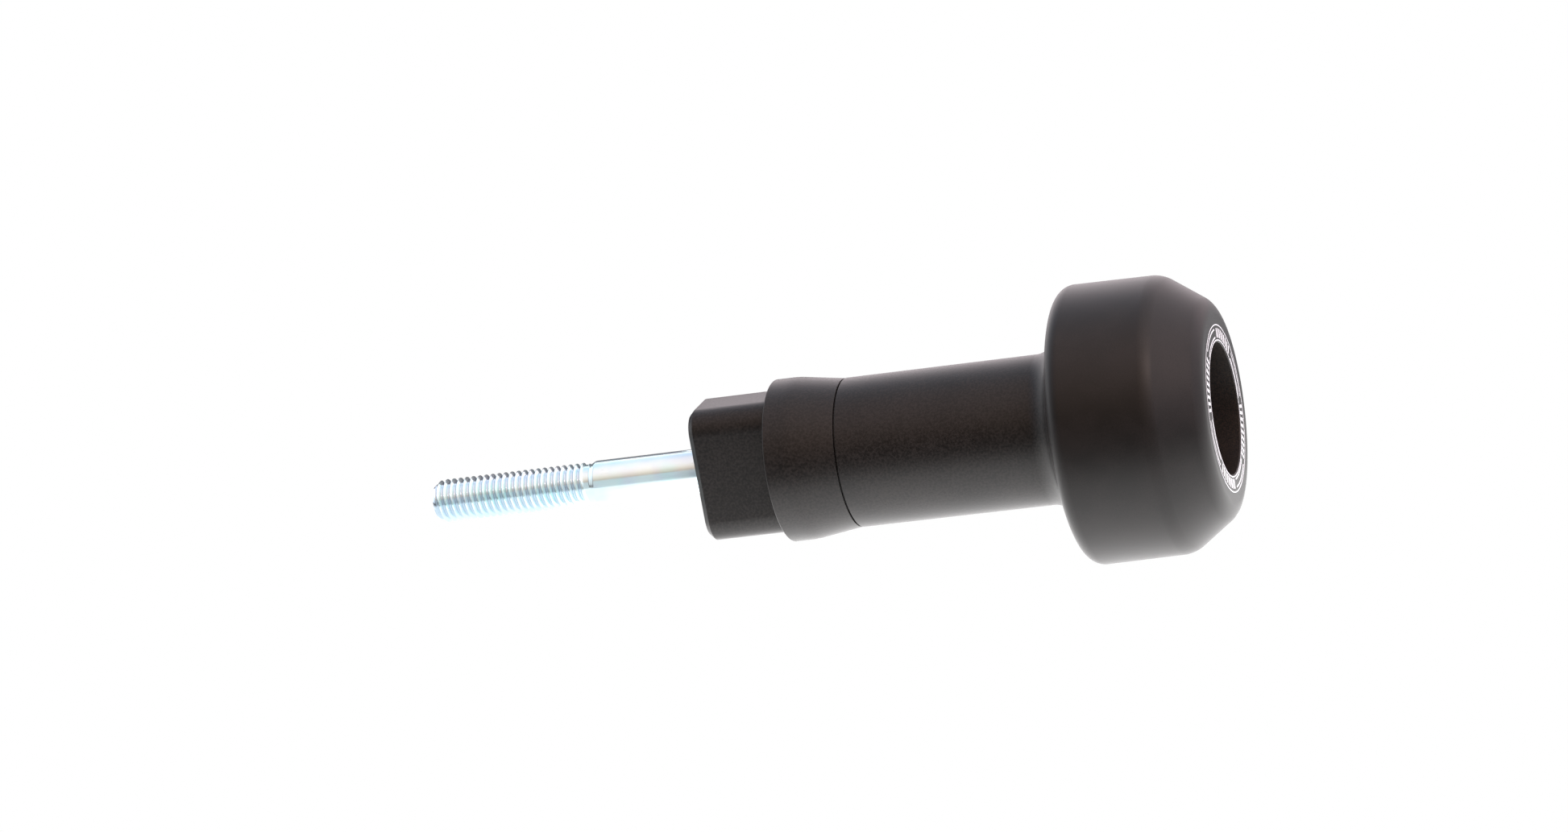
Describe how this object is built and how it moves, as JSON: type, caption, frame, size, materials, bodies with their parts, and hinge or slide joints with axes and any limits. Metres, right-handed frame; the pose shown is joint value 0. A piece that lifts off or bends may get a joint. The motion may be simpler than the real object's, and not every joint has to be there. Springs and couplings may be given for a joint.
{
  "type": "motorcycle frame slider",
  "caption": "Frame slider: rounded nylon head on a flared aluminium hub and a keyed frame spacer, clamped by one long socket bolt.",
  "frame": {"origin": "centre of the keyed block's end face, on the bolt's axis, where the slider meets the motorcycle", "axes": "+X along the bolt's axis towards the nylon head, +Z along the keyed block's long side, +Y across its flats"},
  "size_m": [0.1474, 0.0498, 0.0498],
  "materials": {
    "anodised": "bead-blasted, black anodised",
    "nylon": "satin black nylon",
    "bare_metal": "bare turned metal",
    "zinc": "bright zinc plate"
  },
  "bodies": {
    "slider": {"frame_spacer": "anodised", "hub": "anodised", "head_insert": "bare_metal", "slider_head": "nylon", "bolt_washer": "zinc"},
    "bolt": {"through_bolt": "zinc"}
  },
  "joints": [
    {"name": "bolt_turn", "type": "hinge", "parent": "slider", "child": "bolt", "pos_m": [0, 0, 0], "axis": [1, 0, 0], "continuous": true}
  ]
}
